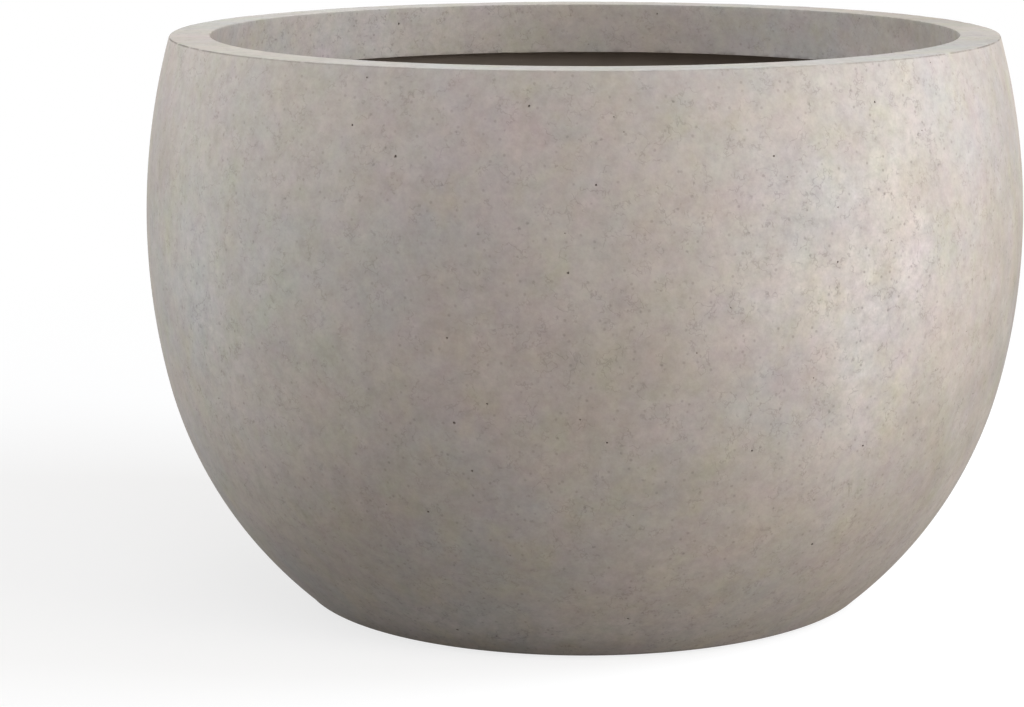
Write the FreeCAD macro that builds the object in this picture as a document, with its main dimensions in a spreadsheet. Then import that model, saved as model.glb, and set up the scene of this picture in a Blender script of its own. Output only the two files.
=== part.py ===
"""Round concrete planter: a low cast bowl with a thick rim, a brown lining, a plugged drain and foot pads.

Lengths are in millimetres. +Z is up and is the bowl's axis. The origin is on the floor, under its centre.
"""

import FreeCAD
import Part
import Sketcher

import math
import os

SIZES = {
    # Outline of the bowl
    "overall_height": 388.0,  # floor to rim top
    "belly_radius": 300.0,  # at the widest place
    "belly_height": 260.0,  # floor to the widest place
    "belly_arc_radius": 458.0,  # the wall's curve through the belly and up to the rim
    "lower_arc_radius": 284.0,  # the tighter curve that turns the wall in to the base
    "lower_arc_top": 155.0,  # floor to where one curve runs into the other
    "foot_round_radius": 12.0,  # between the wall and the flat base
    # Rim
    "rim_width": 28.0,
    "rim_depth": 38.0,
    "rim_flare": 6.0,  # how far the rim's inner face leans out towards its lower edge
    "rim_edge_radius": 1.0,  # the rim's outer edge
    "lip_edge_radius": 0.8,  # the two edges of the rim's inner face
    # Wall and floor
    "wall_thickness": 12.0,
    "floor_thickness": 18.0,
    "floor_round_radius": 45.0,  # inside, between the floor and the wall
    "foot_ring_width": 50.0,
    "underside_recess_depth": 3.0,
    # Lining
    "lining_thickness": 2.5,
    "bond_gap": 0.3,  # between the lining and the concrete
    # Drain sleeve
    "drain_bore_radius": 12.5,
    "sleeve_wall": 2.5,
    "sleeve_fit": 0.3,  # around the sleeve, in the concrete and the lining
    "sleeve_flange_radius": 24.0,
    "sleeve_flange_thickness": 2.0,
    "sleeve_edge_radius": 0.8,
    # Drain plug
    "plug_fit": 0.3,  # around the top of the plug's shank, in the sleeve
    "plug_taper": 1.0,  # how much narrower the shank is at its lower end
    "plug_shank_length": 15.0,
    "plug_flange_radius": 19.0,
    "plug_flange_thickness": 3.5,
    "plug_neck_radius": 5.5,
    "plug_neck_height": 6.0,
    "plug_knob_radius": 9.5,
    "plug_knob_height": 7.0,
    "plug_edge_radius": 1.2,
    # Foot pads
    "foot_count": 4,
    "foot_lift": 1.5,  # how far the pads hold the concrete off the floor
    "pad_radius": 14.0,
    "pad_thickness": 4.0,
    "pad_fit": 0.4,  # around a pad, in its seat
    "pad_edge_radius": 0.8,
}

# Heights from the floor, as formulas of the sheet, each built on the one below it
BASE = "Sizes.foot_lift"
RECESS = f"{BASE} + Sizes.underside_recess_depth"
FLOOR = f"{BASE} + Sizes.floor_thickness"
LINING_UNDERSIDE = f"{FLOOR} + Sizes.bond_gap"
LINING_TOP = f"{LINING_UNDERSIDE} + Sizes.lining_thickness"
SLEEVE_TOP = f"{LINING_TOP} + Sizes.sleeve_flange_thickness"
FLANGE_TOP = f"{SLEEVE_TOP} + Sizes.plug_flange_thickness"
NECK_TOP = f"{FLANGE_TOP} + Sizes.plug_neck_height"
KNOB_TOP = f"{NECK_TOP} + Sizes.plug_knob_height"
RIM_TOP = "Sizes.overall_height"
RIM_UNDERSIDE = f"{RIM_TOP} - Sizes.rim_depth"

# Insets of the wall's faces from the outer face
SHELL_INSIDE = "Sizes.wall_thickness"
LINING_OUTSIDE = f"{SHELL_INSIDE} + Sizes.bond_gap"
LINING_INSIDE = f"{LINING_OUTSIDE} + Sizes.lining_thickness"

# Rounds between the floor and the wall, which follow each other at the same gaps
LINING_OUTER_ROUND = "Sizes.floor_round_radius - Sizes.bond_gap"
LINING_INNER_ROUND = f"{LINING_OUTER_ROUND} - Sizes.lining_thickness"

# Radii of the drain
SLEEVE_OUTER = "Sizes.drain_bore_radius + Sizes.sleeve_wall"
DRAIN_HOLE = f"{SLEEVE_OUTER} + Sizes.sleeve_fit"
SHANK_TOP = "Sizes.drain_bore_radius - Sizes.plug_fit"
SHANK_END = f"{SHANK_TOP} - Sizes.plug_taper"

# Circle that the foot pads stand on, in the middle of the flat ring under the base. A dimension that is
# read from a sketch carries its unit, which the sheet's plain numbers don't, so it is divided by that unit.
UNIT = "1 mm"
PAD_CIRCLE = f"bowl_profile.Constraints.base_radius / {UNIT} - Sizes.foot_ring_width / 2"

# Codes for the points of a sketch edge, for the sketch's own two axes and for its origin
START, END, CENTRE = range(1, 4)
LEVEL_AXIS, UPRIGHT_AXIS = range(-1, -3, -1)
ORIGIN = (LEVEL_AXIS, START)
FULL_TURN = 360.0

doc = FreeCAD.newDocument("round_concrete_planter")
sheet = doc.addObject("Spreadsheet::Sheet", "Sizes")


def fill_sheet():
    """Put each driving dimension in a cell of its own, under its name."""
    for row, (name, number) in enumerate(SIZES.items(), start=1):
        sheet.set(f"A{row}", name)
        sheet.set(f"B{row}", str(number))
        sheet.setAlias(f"B{row}", name)
    doc.recompute()


def value(formula):
    """The number that a formula of the sheet gives."""
    return float(sheet.evalExpression(formula))


def origin_feature(body, role):
    """One of a body's own origin planes or axes."""
    return next(feature for feature in body.Origin.OriginFeatures if feature.Role == role)


def new_body(label):
    """A new sub-part."""
    body = doc.addObject("PartDesign::Body", label)
    body.Label = label
    return body


def new_sketch(body, name, role):
    """An empty sketch on one of the body's origin planes."""
    sketch = body.newObject("Sketcher::SketchObject", name)
    sketch.AttachmentSupport = [(origin_feature(body, role), "")]
    sketch.MapMode = "FlatFace"
    return sketch


def bind(sketch, name, kind, ends, formula):
    """Add a constraint whose size follows the sheet."""
    number = sketch.addConstraint(Sketcher.Constraint(kind, *ends, value(formula)))
    sketch.renameConstraint(number, name)
    sketch.setExpression(f"Constraints.{name}", formula)


def circle_sketch(body, name, distance, radius):
    """A circle in the body's XY plane, with its centre on the X axis at a distance from Z."""
    sketch = new_sketch(body, name, "XY_Plane")
    centre = FreeCAD.Vector(value(distance), 0, 0)
    circle = sketch.addGeometry(Part.Circle(centre, FreeCAD.Vector(0, 0, 1), value(radius)), False)
    sketch.addConstraint(Sketcher.Constraint("PointOnObject", circle, CENTRE, LEVEL_AXIS))
    bind(sketch, f"{name}_distance", "DistanceX", (*ORIGIN, circle, CENTRE), distance)
    bind(sketch, f"{name}_radius", "Radius", (circle,), radius)
    sketch.Visibility = False
    return sketch


class Profile:
    """An outline in a body's XZ plane, to be turned about Z: sketch X is the radius, sketch Y the height."""

    def __init__(self, body, name):
        self.body = body
        self.sketch = new_sketch(body, name, "XZ_Plane")

    def point(self, edge, end):
        """Where an edge starts, ends or has its centre."""
        return self.sketch.getPoint(edge, end)

    def line(self, start, end):
        """Draw a straight edge."""
        return self.sketch.addGeometry(Part.LineSegment(start, end), False)

    def arc(self, centre, radius, start_angle, end_angle):
        """Draw a round edge."""
        circle = Part.Circle(centre, FreeCAD.Vector(0, 0, 1), radius)
        return self.sketch.addGeometry(Part.ArcOfCircle(circle, start_angle, end_angle), False)

    def fix(self, kind, *ends):
        """Add a constraint that has no size, such as Coincident or Horizontal."""
        self.sketch.addConstraint(Sketcher.Constraint(kind, *ends))

    def bind(self, name, kind, ends, formula):
        """Add a constraint whose size follows the sheet."""
        bind(self.sketch, name, kind, ends, formula)

    def measure(self, name, kind, ends, length):
        """Add a dimension that only reads what the others give, for other sketches to use."""
        number = self.sketch.addConstraint(Sketcher.Constraint(kind, *ends, length))
        self.sketch.renameConstraint(number, name)
        self.sketch.setDriving(number, False)

    def turn(self, name):
        """Turn the outline about Z into a solid."""
        revolution = self.body.newObject("PartDesign::Revolution", name)
        revolution.Profile = self.sketch
        revolution.ReferenceAxis = (self.sketch, ["V_Axis"])
        revolution.Angle = FULL_TURN
        self.sketch.Visibility = False
        doc.recompute()
        return revolution


def wall_arcs(inset, round_radius, floor, top):
    """Centre, radius and end angles of the wall's three tangent arcs, moved inward by inset."""
    arc_radius = value("Sizes.belly_arc_radius")
    belly_centre = FreeCAD.Vector(value("Sizes.belly_radius") - arc_radius, value("Sizes.belly_height"), 0)
    turn = math.asin((belly_centre.y - value("Sizes.lower_arc_top")) / arc_radius)
    spread = arc_radius - value("Sizes.lower_arc_radius")
    lower_centre = belly_centre + FreeCAD.Vector(spread * math.cos(turn), -spread * math.sin(turn), 0)
    lower_radius = value("Sizes.lower_arc_radius") - inset
    reach = lower_radius - round_radius
    dip = math.asin((lower_centre.y - floor - round_radius) / reach)
    round_centre = lower_centre + FreeCAD.Vector(reach * math.cos(dip), -reach * math.sin(dip), 0)
    belly_radius = arc_radius - inset
    rise = math.asin((top - belly_centre.y) / belly_radius)
    return (
        (round_centre, round_radius, -math.pi / 2, -dip),
        (lower_centre, lower_radius, -dip, -turn),
        (belly_centre, belly_radius, -turn, rise),
    )


def draw_wall(profile, side, inset, round_radius, floor, top):
    """Draw one face of the wall from the floor up, and give its lowest and highest edge."""
    arcs = wall_arcs(value(inset), value(round_radius), value(floor), value(top))
    corner, lower, belly = [profile.arc(*arc) for arc in arcs]
    profile.fix("Tangent", corner, END, lower, START)
    profile.fix("Tangent", lower, END, belly, START)
    profile.bind(f"{side}_round_radius", "Radius", (corner,), round_radius)
    profile.bind(f"{side}_lower_radius", "Radius", (lower,), f"Sizes.lower_arc_radius - ({inset})")
    profile.bind(f"{side}_belly_radius", "Radius", (belly,), f"Sizes.belly_arc_radius - ({inset})")
    centre = (*ORIGIN, belly, CENTRE)
    profile.bind(f"{side}_centre_x", "DistanceX", centre, "Sizes.belly_radius - Sizes.belly_arc_radius")
    profile.bind(f"{side}_centre_z", "DistanceY", centre, "Sizes.belly_height")
    drop_share = f"(Sizes.belly_arc_radius - ({inset})) / Sizes.belly_arc_radius"
    meeting = f"Sizes.belly_height - {drop_share} * (Sizes.belly_height - Sizes.lower_arc_top)"
    profile.bind(f"{side}_meeting_z", "DistanceY", (*ORIGIN, belly, START), meeting)
    return corner, belly


def draw_outline(profile, corners):
    """Draw a closed outline of straight edges through corners, each a formula for radius and for height."""
    points = [FreeCAD.Vector(value(radius), value(height), 0) for radius, height in corners]
    edges = [profile.line(start, end) for start, end in zip(points, points[1:] + points[:1])]
    for number, (radius, height) in enumerate(corners):
        edge = edges[number]
        profile.fix("Coincident", edges[number - 1], END, edge, START)
        if radius == "0":
            profile.fix("PointOnObject", edge, START, UPRIGHT_AXIS)
        else:
            profile.bind(f"corner_{number}_radius", "DistanceX", (*ORIGIN, edge, START), radius)
        profile.bind(f"corner_{number}_height", "DistanceY", (*ORIGIN, edge, START), height)


def round_edges(feature, name, radius, places):
    """Round the circular edges whose radius and height are given as numbers."""
    tolerance = value("Sizes.rim_edge_radius") / 100
    names = []
    for number, edge in enumerate(feature.Shape.Edges, start=1):
        if not isinstance(edge.Curve, Part.Circle):
            continue
        for wide, high in places:
            if abs(edge.Curve.Radius - wide) < tolerance and abs(edge.Curve.Center.z - high) < tolerance:
                names.append(f"Edge{number}")
    if len(names) != len(places):
        raise RuntimeError(f"{name}: {len(names)} edges found for {len(places)} places")
    fillet = feature.getParentGeoFeatureGroup().newObject("PartDesign::Fillet", name)
    fillet.Base = (feature, names)
    fillet.setExpression("Radius", radius)
    doc.recompute()
    return fillet


def make_bowl():
    """The concrete casting: wall, thick rim, floor with a drain hole, recessed underside and foot seats."""
    body = new_body("bowl_shell")
    profile = Profile(body, "bowl_profile")
    foot, skin = draw_wall(profile, "outside", "0", "Sizes.foot_round_radius", BASE, RIM_TOP)
    corner, inside = draw_wall(
        profile, "inside", SHELL_INSIDE, "Sizes.floor_round_radius", FLOOR, RIM_UNDERSIDE
    )

    # Rim: its flat top, its inner face and the step back to the thin wall
    rim_outer = profile.point(skin, END)
    rim_inner = rim_outer - FreeCAD.Vector(value("Sizes.rim_width"), 0, 0)
    lip = rim_inner + FreeCAD.Vector(value("Sizes.rim_flare"), -value("Sizes.rim_depth"), 0)
    rim = profile.line(rim_outer, rim_inner)
    face = profile.line(rim_inner, lip)
    step = profile.line(lip, profile.point(inside, END))
    profile.fix("Coincident", skin, END, rim, START)
    profile.fix("Horizontal", rim)
    profile.bind("rim_height", "DistanceY", (*ORIGIN, rim, START), RIM_TOP)
    profile.bind("rim_width", "DistanceX", (rim, END, rim, START), "Sizes.rim_width")
    profile.fix("Coincident", rim, END, face, START)
    profile.bind("rim_flare", "DistanceX", (face, START, face, END), "Sizes.rim_flare")
    profile.bind("rim_depth", "DistanceY", (face, END, face, START), "Sizes.rim_depth")
    profile.fix("Coincident", face, END, step, START)
    profile.fix("Horizontal", step)
    profile.fix("Coincident", step, END, inside, END)

    # Floor, drain hole and recessed underside
    hole = value(DRAIN_HOLE)
    foot_start = profile.point(foot, START)
    ring_start = foot_start - FreeCAD.Vector(value("Sizes.foot_ring_width"), 0, 0)
    hole_top = FreeCAD.Vector(hole, value(FLOOR), 0)
    hole_end = FreeCAD.Vector(hole, value(RECESS), 0)
    recess_edge = FreeCAD.Vector(ring_start.x, value(RECESS), 0)
    floor = profile.line(profile.point(corner, START), hole_top)
    bore = profile.line(hole_top, hole_end)
    ceiling = profile.line(hole_end, recess_edge)
    shoulder = profile.line(recess_edge, ring_start)
    ring = profile.line(ring_start, foot_start)
    profile.fix("Tangent", corner, START, floor, START)
    profile.fix("Horizontal", floor)
    profile.bind("floor_height", "DistanceY", (*ORIGIN, floor, END), FLOOR)
    profile.fix("Coincident", floor, END, bore, START)
    profile.fix("Vertical", bore)
    profile.bind("hole_radius", "DistanceX", (*ORIGIN, bore, START), DRAIN_HOLE)
    profile.fix("Coincident", bore, END, ceiling, START)
    profile.fix("Horizontal", ceiling)
    profile.bind("recess_height", "DistanceY", (*ORIGIN, ceiling, START), RECESS)
    profile.fix("Coincident", ceiling, END, shoulder, START)
    profile.fix("Vertical", shoulder)
    profile.fix("Coincident", shoulder, END, ring, START)
    profile.fix("Tangent", ring, END, foot, START)
    profile.fix("Horizontal", ring)
    profile.bind("base_height", "DistanceY", (*ORIGIN, ring, START), BASE)
    profile.bind("ring_width", "DistanceX", (ring, START, ring, END), "Sizes.foot_ring_width")
    profile.measure("base_radius", "DistanceX", (*ORIGIN, ring, END), foot_start.x)
    casting = profile.turn("bowl_casting")

    # Rounded edges of the rim, the inner ones sharper than the outer
    rim_places = [(rim_outer.x, rim_outer.y)]
    eased = round_edges(casting, "rim_edge", "Sizes.rim_edge_radius", rim_places)
    lip_places = [(point.x, point.y) for point in (rim_inner, lip)]
    eased = round_edges(eased, "lip_edges", "Sizes.lip_edge_radius", lip_places)

    # Seats for the foot pads, cut upward from the base
    outline = circle_sketch(body, "foot_seat_outline", PAD_CIRCLE, "Sizes.pad_radius + Sizes.pad_fit")
    outline.setExpression("AttachmentOffset.Base.z", BASE)
    seat = body.newObject("PartDesign::Pocket", "foot_seat")
    seat.Profile = outline
    seat.Reversed = True
    seat.setExpression("Length", "Sizes.pad_thickness - Sizes.foot_lift")
    doc.recompute()
    seats = body.newObject("PartDesign::PolarPattern", "foot_seats")
    seats.Originals = [seat]
    seats.Axis = (origin_feature(body, "Z_Axis"), [""])
    seats.Angle = FULL_TURN
    seats.setExpression("Occurrences", "Sizes.foot_count")
    body.Tip = seats
    doc.recompute()
    if not seats.Shape.Volume < seat.Shape.Volume < eased.Shape.Volume:
        raise RuntimeError("the foot seats cut nothing")
    return body


def make_lining():
    """The brown lining: a thin skin along the inside of the wall and floor, up to the step under the rim."""
    body = new_body("inner_lining")
    profile = Profile(body, "lining_profile")
    top = f"{RIM_UNDERSIDE} - Sizes.bond_gap"
    back_corner, back = draw_wall(
        profile, "outside", LINING_OUTSIDE, LINING_OUTER_ROUND, LINING_UNDERSIDE, top
    )
    front_corner, front = draw_wall(
        profile, "inside", LINING_INSIDE, LINING_INNER_ROUND, LINING_TOP, top
    )
    edge = profile.line(profile.point(back, END), profile.point(front, END))
    profile.fix("Coincident", back, END, edge, START)
    profile.fix("Horizontal", edge)
    profile.fix("Coincident", edge, END, front, END)
    profile.bind("edge_height", "DistanceY", (*ORIGIN, edge, START), top)

    hole = value(DRAIN_HOLE)
    hole_top = FreeCAD.Vector(hole, value(LINING_TOP), 0)
    hole_end = FreeCAD.Vector(hole, value(LINING_UNDERSIDE), 0)
    floor = profile.line(profile.point(front_corner, START), hole_top)
    bore = profile.line(hole_top, hole_end)
    underside = profile.line(hole_end, profile.point(back_corner, START))
    profile.fix("Tangent", front_corner, START, floor, START)
    profile.fix("Horizontal", floor)
    profile.bind("floor_height", "DistanceY", (*ORIGIN, floor, END), LINING_TOP)
    profile.fix("Coincident", floor, END, bore, START)
    profile.fix("Vertical", bore)
    profile.bind("hole_radius", "DistanceX", (*ORIGIN, bore, START), DRAIN_HOLE)
    profile.fix("Coincident", bore, END, underside, START)
    profile.fix("Horizontal", underside)
    profile.fix("Tangent", underside, END, back_corner, START)
    profile.bind("underside_height", "DistanceY", (*ORIGIN, underside, START), LINING_UNDERSIDE)
    profile.turn("lining_skin")
    return body


def make_sleeve():
    """The flanged plastic sleeve in the drain hole, down to the recessed underside."""
    body = new_body("drain_sleeve")
    profile = Profile(body, "sleeve_profile")
    bore = "Sizes.drain_bore_radius"
    flange = "Sizes.sleeve_flange_radius"
    draw_outline(profile, [
        (bore, RECESS),
        (SLEEVE_OUTER, RECESS),
        (SLEEVE_OUTER, LINING_TOP),
        (flange, LINING_TOP),
        (flange, SLEEVE_TOP),
        (bore, SLEEVE_TOP),
    ])
    turned = profile.turn("sleeve_turning")
    places = [(value(flange), value(SLEEVE_TOP))]
    round_edges(turned, "sleeve_edge", "Sizes.sleeve_edge_radius", places)
    return body


def make_plug():
    """The rubber stopper: a tapered shank in the sleeve, a flange on it, and a knob to pull it by."""
    body = new_body("drain_plug")
    profile = Profile(body, "plug_profile")
    shank_end = f"{SLEEVE_TOP} - Sizes.plug_shank_length"
    flange = "Sizes.plug_flange_radius"
    neck = "Sizes.plug_neck_radius"
    knob = "Sizes.plug_knob_radius"
    draw_outline(profile, [
        ("0", shank_end),
        (SHANK_END, shank_end),
        (SHANK_TOP, SLEEVE_TOP),
        (flange, SLEEVE_TOP),
        (flange, FLANGE_TOP),
        (neck, FLANGE_TOP),
        (neck, NECK_TOP),
        (knob, NECK_TOP),
        (knob, KNOB_TOP),
        ("0", KNOB_TOP),
    ])
    turned = profile.turn("plug_turning")
    rounded = (
        (SHANK_END, shank_end),
        (flange, FLANGE_TOP),
        (neck, FLANGE_TOP),
        (knob, NECK_TOP),
        (knob, KNOB_TOP),
    )
    places = [(value(radius), value(height)) for radius, height in rounded]
    round_edges(turned, "plug_edges", "Sizes.plug_edge_radius", places)
    return body


def make_foot_pad(number):
    """One rubber pad, seated under the base and standing on the floor."""
    body = new_body(f"foot_pad_{number + 1}")
    outline = circle_sketch(body, f"pad_{number + 1}_outline", "0", "Sizes.pad_radius")
    disc = body.newObject("PartDesign::Pad", f"pad_{number + 1}_disc")
    disc.Profile = outline
    disc.setExpression("Length", "Sizes.pad_thickness")
    doc.recompute()
    places = [(value("Sizes.pad_radius"), 0)]
    round_edges(disc, f"pad_{number + 1}_edge", "Sizes.pad_edge_radius", places)
    bearing = f"{number} * {FULL_TURN}deg / Sizes.foot_count"
    body.setExpression("Placement.Base.x", f"({PAD_CIRCLE}) * cos({bearing})")
    body.setExpression("Placement.Base.y", f"({PAD_CIRCLE}) * sin({bearing})")
    return body


def check_document():
    """Stop if any object of the document failed to rebuild."""
    for feature in doc.Objects:
        if "Invalid" in feature.State or "Error" in feature.State:
            raise RuntimeError(f"{feature.Label} failed: {feature.State}")


def write_parts(bodies):
    """Write each sub-part's solid to a file under its own name."""
    os.makedirs("parts", exist_ok=True)
    for body in bodies:
        shape = body.Shape
        if shape.isNull() or not shape.isValid() or len(shape.Solids) != 1:
            raise RuntimeError(f"{body.Label} is not one valid solid")
        shape.exportStep(os.path.join("parts", f"{body.Label}.step"))
        box = shape.BoundBox
        print(f"{body.Label}: {shape.Volume:.0f} mm3, from {box.ZMin:.2f} to {box.ZMax:.2f} mm high")


fill_sheet()
sub_parts = [make_bowl(), make_lining(), make_sleeve(), make_plug()]
sub_parts += [make_foot_pad(number) for number in range(int(value("Sizes.foot_count")))]
doc.recompute()
check_document()
write_parts(sub_parts)
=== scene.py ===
"""Looks of the round concrete planter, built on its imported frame.

Lengths are in metres. +Z is up and is the bowl's axis, and the front is at -Y, where the camera stands.
"""

import math
import random

import bmesh
import bpy
import numpy as np
from mathutils import Matrix, Vector, noise


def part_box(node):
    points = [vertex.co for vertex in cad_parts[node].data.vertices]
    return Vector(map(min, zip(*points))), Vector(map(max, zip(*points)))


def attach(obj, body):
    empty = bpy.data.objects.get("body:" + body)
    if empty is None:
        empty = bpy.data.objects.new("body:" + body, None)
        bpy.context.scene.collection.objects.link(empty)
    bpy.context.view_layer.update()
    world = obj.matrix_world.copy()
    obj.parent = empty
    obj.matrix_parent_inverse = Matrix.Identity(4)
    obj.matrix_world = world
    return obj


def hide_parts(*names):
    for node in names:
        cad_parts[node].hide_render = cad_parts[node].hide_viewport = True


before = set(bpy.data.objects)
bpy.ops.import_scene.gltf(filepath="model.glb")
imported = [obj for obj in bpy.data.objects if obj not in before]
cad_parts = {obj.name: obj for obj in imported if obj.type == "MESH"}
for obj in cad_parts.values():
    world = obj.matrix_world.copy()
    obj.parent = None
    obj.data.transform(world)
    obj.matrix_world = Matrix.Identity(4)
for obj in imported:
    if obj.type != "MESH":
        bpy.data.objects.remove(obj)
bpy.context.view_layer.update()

# Sizes that the frame gives
shell_low, shell_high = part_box("bowl_shell")
lining_low, lining_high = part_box("inner_lining")
pad_low, pad_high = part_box("foot_pad_1")
BASE = shell_low.z
RIM_TOP = shell_high.z
BELLY_RADIUS = shell_high.x
LINING_UNDERSIDE = lining_low.z
LINING_EDGE = lining_high.z
PAD_RADIUS = (pad_high.x - pad_low.x) / 2
PAD_CIRCLE = (pad_high.x + pad_low.x) / 2
SEAT_CEILING = pad_high.z
FOOT_COUNT = 4

# Sizes of the casting and its lining, as in the part's source
BELLY_HEIGHT = 0.260
BELLY_ARC_RADIUS = 0.458
LOWER_ARC_RADIUS = 0.284
LOWER_ARC_TOP = 0.155
FOOT_ROUND_RADIUS = 0.012
FOOT_RING_WIDTH = 0.050
RECESS_DEPTH = 0.003
RIM_WIDTH = 0.028
RIM_DEPTH = 0.038
RIM_FLARE = 0.006
RIM_EDGE_RADIUS = 0.001
LIP_EDGE_RADIUS = 0.0008
WALL_THICKNESS = 0.012
FLOOR_THICKNESS = 0.018
FLOOR_ROUND_RADIUS = 0.045
BOND_GAP = 0.0003
LINING_THICKNESS = 0.0025
DRAIN_HOLE_RADIUS = 0.0153
SEAT_FIT = 0.0004

# Heights and corners that follow from these
FLOOR = BASE + FLOOR_THICKNESS
RECESS = BASE + RECESS_DEPTH
LIP_UNDERSIDE = RIM_TOP - RIM_DEPTH

# How fine the meshes are
COLUMNS = 640
SKIN_STEP = 0.003
EDGE_STEP = 0.00025
LIP_STEP = 0.0002
HIDDEN_STEP = 0.02
REPEAT_GAP = 0.0000025
LINING_COLUMNS = 480
SEAT_COLUMNS = 64
SHARP_ANGLE = math.radians(35)

# Unevenness that the mould and the hand leave in the concrete, always inward from the true face
UNDULATION_LENGTH = 0.13
UNDULATION_DEPTH = 0.0005
RIPPLE_LENGTH = 0.022
RIPPLE_DEPTH = 0.00008
EDGE_WEAR_LENGTH = 0.011
EDGE_WEAR_DEPTH = 0.0004

# Fine dark line along the rim's outer edge, a groove where the mould's lid met its wall, darkened partly by
# stain and partly by painted shade
LINE_WIDTH = 0.0009
LINE_DEPTH = 0.0002
LINE_FAINTEST = 0.15
LINE_FADE = 2
LINE_CHANGE_LENGTH = 0.03

# Photograph and camera
IMAGE_WIDTH = 1024
IMAGE_HEIGHT = 707
FOCAL_PIXELS = 2985.4
AXIS_PIXEL = 584.85
SENSOR_WIDTH = 36.0
CAMERA_PLACE = Vector((0, -2.0448, 0.5552))
CAMERA_PITCH = math.radians(10.843)

# Air holes that show in the photograph: pixel across, pixel down, radius
SEEN_PORES = [
    (395, 156, 0.0008),
    (529, 106, 0.0007),
    (399, 24, 0.0008),
    (568, 273, 0.0007),
    (352, 125, 0.0006),
    (774, 156, 0.0006),
    (596, 185, 0.0006),
    (838, 262, 0.0006),
    (657, 14, 0.0006),
    (875, 102, 0.0006),
    (454, 423, 0.0008),
    (472, 471, 0.0006),
    (487, 404, 0.0006),
    (428, 512, 0.0007),
    (447, 338, 0.0006),
    (457, 631, 0.0009),
    (752, 451, 0.0006),
    (863, 446, 0.0007),
    (607, 443, 0.0006),
    (580, 420, 0.0005),
    (628, 619, 0.0007),
    (812, 545, 0.0008),
]
HIDDEN_PORE_COUNT = 60
HIDDEN_PORE_RADIUS = (0.0004, 0.0011)
SMALL_PORE_COUNT = 90
SMALL_PORE_RADIUS = (0.0003, 0.00045)
PORE_DEPTH_SHARE = 1.3
PORE_LOBE = 0.18
PORE_POINTS = 16
PORE_SEED = 7
PORE_PATCH = [(-1, -1), (-1, 0), (-1, 1), (0, 1), (1, 1), (1, 0), (1, -1), (0, -1)]
PORE_START = math.atan2(*PORE_PATCH[0])

# Rings of a pore from its edge in: reach and depth as shares of its radius, and how much painted shade
# darkens it there
PORE_RINGS = [(1.4, 0.0, 0.0), (1.0, 0.05, 0.4), (0.8, 0.65, 1.0), (0.45, 1.0, 1.0)]

# Clouds that show in the photograph: pixel across, pixel down, half width, half height and kind. The bloom
# clouds and the pale ones on the bowl's right are painted highlight, the pale ones along the bottom are
# painted light thrown up from the floor, and the dusk clouds are painted shade at the bowl's left and right
# edges and on the rim's inner band
SEEN_CLOUDS = [
    # Painted highlight on the bowl's right: these bloom clouds and the first four pale ones below them
    (838, 300, 0.050, 0.038, "bloom_and_painted_highlight"),
    (862, 385, 0.035, 0.060, "bloom_and_painted_highlight"),
    (905, 255, 0.018, 0.030, "bloom_and_painted_highlight"),
    (870, 175, 0.070, 0.060, "pale"),
    (845, 190, 0.050, 0.045, "pale"),
    (910, 110, 0.060, 0.045, "pale"),
    (935, 270, 0.045, 0.050, "pale"),
    (195, 265, 0.030, 0.060, "pale"),
    # Painted light thrown up from the floor along the bottom edge: the next three pale clouds
    (500, 630, 0.110, 0.020, "pale"),
    (420, 622, 0.080, 0.020, "pale"),
    (650, 635, 0.100, 0.020, "pale"),
    (450, 20, 0.080, 0.030, "pale"),
    (750, 260, 0.030, 0.050, "pale"),
    (215, 345, 0.030, 0.060, "pale"),
    (430, 150, 0.080, 0.040, "pink"),
    (465, 335, 0.050, 0.060, "pink"),
    (260, 300, 0.070, 0.090, "green"),
    (290, 275, 0.060, 0.060, "green"),
    (560, 285, 0.050, 0.040, "green"),
    (755, 540, 0.050, 0.030, "buff"),
    (445, 275, 0.040, 0.030, "dark"),
    (600, 505, 0.055, 0.030, "dark"),
    (715, 485, 0.050, 0.030, "dark"),
    (610, 108, 0.050, 0.022, "dark"),
    (645, 395, 0.040, 0.040, "dark"),
    (600, 385, 0.050, 0.045, "dark"),
    (420, 480, 0.050, 0.035, "dark"),
    (560, 570, 0.055, 0.028, "dark"),
    # Painted shade at the bowl's left and right edges and on the right of the rim's inner band: the dusk
    # clouds
    (925, 470, 0.050, 0.050, "dusk_and_painted_shade"),
    (1014, 160, 0.060, 0.130, "dusk_and_painted_shade"),
    (1000, 365, 0.055, 0.090, "dusk_and_painted_shade"),
    (154, 150, 0.050, 0.100, "dusk_and_painted_shade"),
    (918, 31, 0.060, 0.030, "dusk_and_painted_shade"),
    (880, 28, 0.100, 0.024, "brown"),
]

# What each kind of cloud does to the red, green, blue and grain of the concrete
CLOUD_PARTS = 4
CLOUD_KINDS = {
    # The bloom kind lightens the concrete and coarsens its grain as painted highlight; the dusk kind
    # darkens it as painted shade
    "bloom_and_painted_highlight": (1.13, 1.13, 1.14, 1.4),
    "pale": (1.04, 1.05, 1.06, 1.2),
    "pink": (1.02, 0.99, 1.00, 1.0),
    "green": (0.99, 1.01, 1.02, 1.0),
    "buff": (1.00, 0.99, 0.96, 1.0),
    "dark": (0.95, 0.95, 0.95, 1.0),
    "dusk_and_painted_shade": (0.88, 0.88, 0.87, 1.0),
    "brown": (1.00, 0.94, 0.90, 1.0),
}
RIM_TOP_TINT = (0.98, 1.01, 1.0, 1.0)
HIDDEN_CLOUD_COUNT = 14
HIDDEN_CLOUD_KINDS = ["bloom_and_painted_highlight", "pale", "pink", "green", "buff", "dark", "dusk_and_painted_shade"]
HIDDEN_CLOUD_SIZE = (0.03, 0.08)
CLOUD_RAG = 0.5
CLOUD_RAG_LENGTH = 0.03
CLOUD_SEED = 3

# Places of the colours among a mix node's sockets, several of which share a name
MIX_UNDER = 6
MIX_OVER = 7
MIX_RESULT = 2

# Detail and roughness of soft noise and of noise with much fine grain
SOFT = (3.0, 0.6)
FINE = (3.0, 0.82)

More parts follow.
